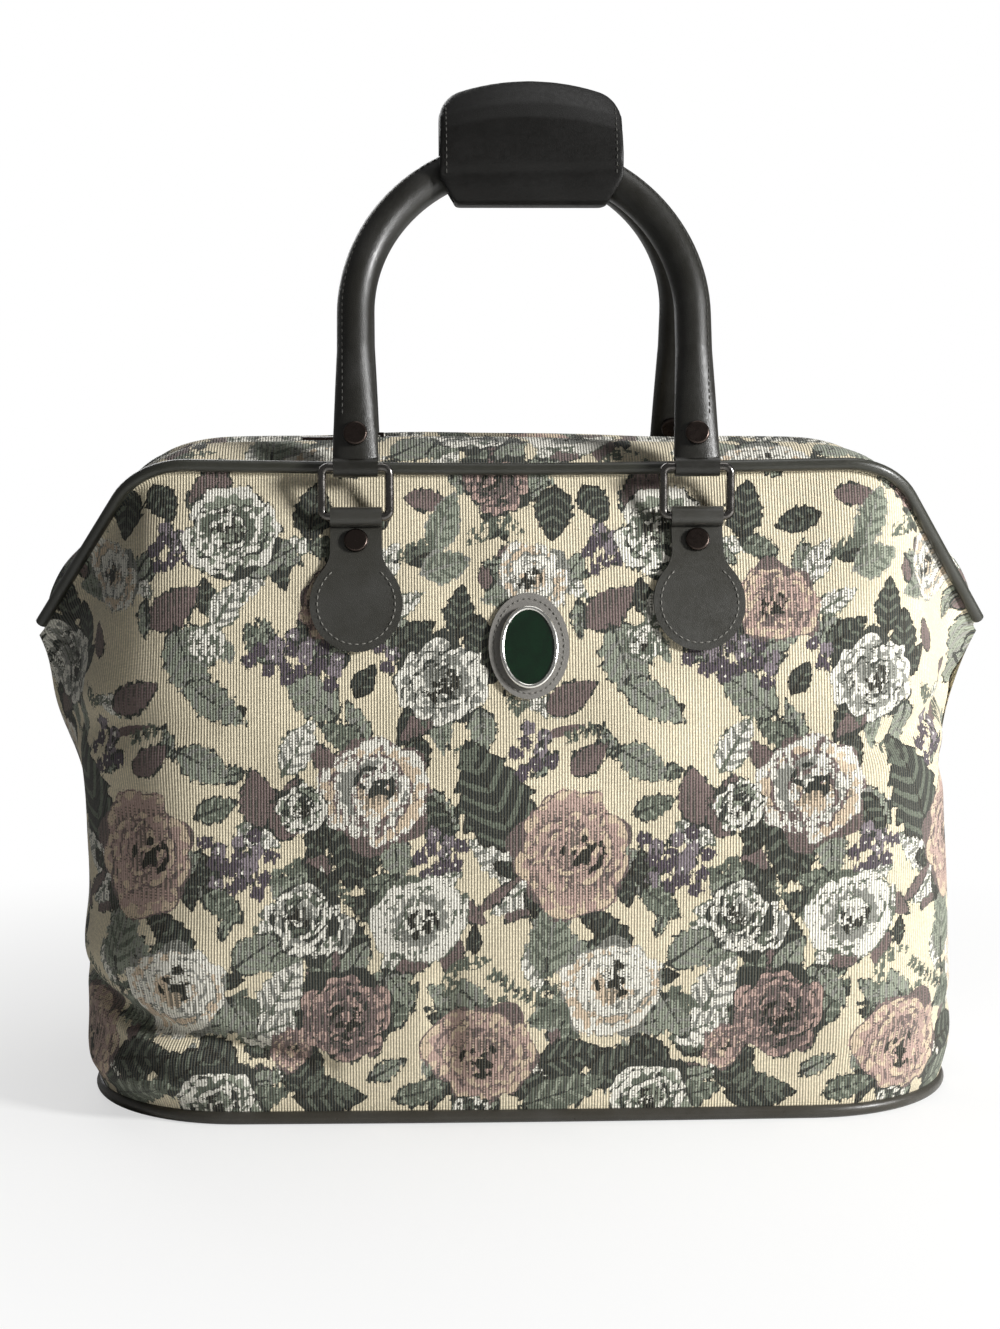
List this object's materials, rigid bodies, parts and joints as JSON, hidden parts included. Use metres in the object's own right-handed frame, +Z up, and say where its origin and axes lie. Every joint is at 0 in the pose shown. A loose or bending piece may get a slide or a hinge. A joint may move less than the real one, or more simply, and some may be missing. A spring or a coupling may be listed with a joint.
{
  "type": "carpet bag",
  "caption": "Soft tapestry travel bag with a hinged zip-closed top frame, piped edges, rolled leather handles on metal rings and a padded leather wrap round the front handle.",
  "frame": {"origin": "middle of the base, on the surface that the bag stands on", "axes": "+Z up, +X to the right as seen from the front, -Y towards the front with the badge"},
  "size_m": [0.473, 0.2066, 0.495],
  "materials": {
    "tapestry": "woven floral tapestry",
    "leather": "smooth dark leather",
    "leatherette": "grey leatherette",
    "board": "stiff board",
    "steel": "drawn steel wire",
    "nickel": "dark antique nickel",
    "zip_tape": "woven tape",
    "zip_chain": "coil",
    "badge_metal": "polished",
    "enamel": "glossy enamel"
  },
  "bodies": {
    "bag": {"front_panel": "tapestry", "back_panel": "tapestry", "front_top_strip": "tapestry", "back_top_strip": "tapestry", "front_top_piping": "leather", "back_top_piping": "leather", "tab_front_left": "leather", "tab_front_right": "leather", "tab_back_left": "leather", "tab_back_right": "leather", "base_panel": "leatherette", "base_piping": "leatherette", "badge_patch": "leatherette", "base_board": "board", "front_frame_rod": "steel", "back_frame_rod": "steel", "frame_hinge_rivets": "steel", "tab_rivets": "nickel", "zip_tape_front": "zip_tape", "zip_tape_back": "zip_tape", "zip_chain_front": "zip_chain", "zip_chain_back": "zip_chain", "badge_rim": "badge_metal", "badge_enamel": "enamel"},
    "ring_front_left": {"ring_front_left": "nickel"},
    "ring_front_right": {"ring_front_right": "nickel"},
    "front_handle": {"front_handle": "leather", "front_handle_rivets": "nickel", "handle_wrap": "leather"},
    "ring_back_left": {"ring_back_left": "nickel"},
    "ring_back_right": {"ring_back_right": "nickel"},
    "back_handle": {"back_handle": "leather", "back_handle_rivets": "nickel"},
    "zip_slider_left": {"zip_slider_left": "nickel"},
    "zip_pull_left": {"zip_pull_left": "nickel"},
    "zip_slider_right": {"zip_slider_right": "nickel"},
    "zip_pull_right": {"zip_pull_right": "nickel"}
  },
  "joints": [
    {"name": "ring_front_left_swing", "type": "hinge", "parent": "bag", "child": "ring_front_left", "pos_m": [-0.077, -0.0663, 0.288], "axis": [1, 0, 0], "range_deg": [0, 75]},
    {"name": "ring_front_right_swing", "type": "hinge", "parent": "bag", "child": "ring_front_right", "pos_m": [0.085, -0.0663, 0.288], "axis": [1, 0, 0], "range_deg": [0, 75]},
    {"name": "front_handle_swing", "type": "hinge", "parent": "ring_front_left", "child": "front_handle", "pos_m": [-0.077, -0.06479, 0.31135], "axis": [1, 0, 0], "range_deg": [0, 105]},
    {"name": "ring_back_left_swing", "type": "hinge", "parent": "bag", "child": "ring_back_left", "pos_m": [-0.077, 0.0663, 0.288], "axis": [-1, 0, 0], "range_deg": [0, 75]},
    {"name": "ring_back_right_swing", "type": "hinge", "parent": "bag", "child": "ring_back_right", "pos_m": [0.085, 0.0663, 0.288], "axis": [-1, 0, 0], "range_deg": [0, 75]},
    {"name": "back_handle_swing", "type": "hinge", "parent": "ring_back_left", "child": "back_handle", "pos_m": [-0.077, 0.06479, 0.31135], "axis": [-1, 0, 0], "range_deg": [0, 105]},
    {"name": "zip_left_slide", "type": "slide", "parent": "bag", "child": "zip_slider_left", "axis": [-1, 0, 0], "range_m": [0, 0.045]},
    {"name": "zip_left_pull_flip", "type": "hinge", "parent": "zip_slider_left", "child": "zip_pull_left", "pos_m": [-0.08215, 0, 0.3215], "axis": [0, 1, 0], "range_deg": [0, 100]},
    {"name": "zip_right_slide", "type": "slide", "parent": "bag", "child": "zip_slider_right", "axis": [1, 0, 0], "range_m": [0, 0.195]},
    {"name": "zip_right_pull_flip", "type": "hinge", "parent": "zip_slider_right", "child": "zip_pull_right", "pos_m": [-0.06785, 0, 0.3215], "axis": [0, -1, 0], "range_deg": [0, 100]}
  ],
  "couplings": [
    {"joint": "ring_front_right_swing", "follows": "ring_front_left_swing", "ratio": 1},
    {"joint": "ring_back_right_swing", "follows": "ring_back_left_swing", "ratio": 1}
  ]
}
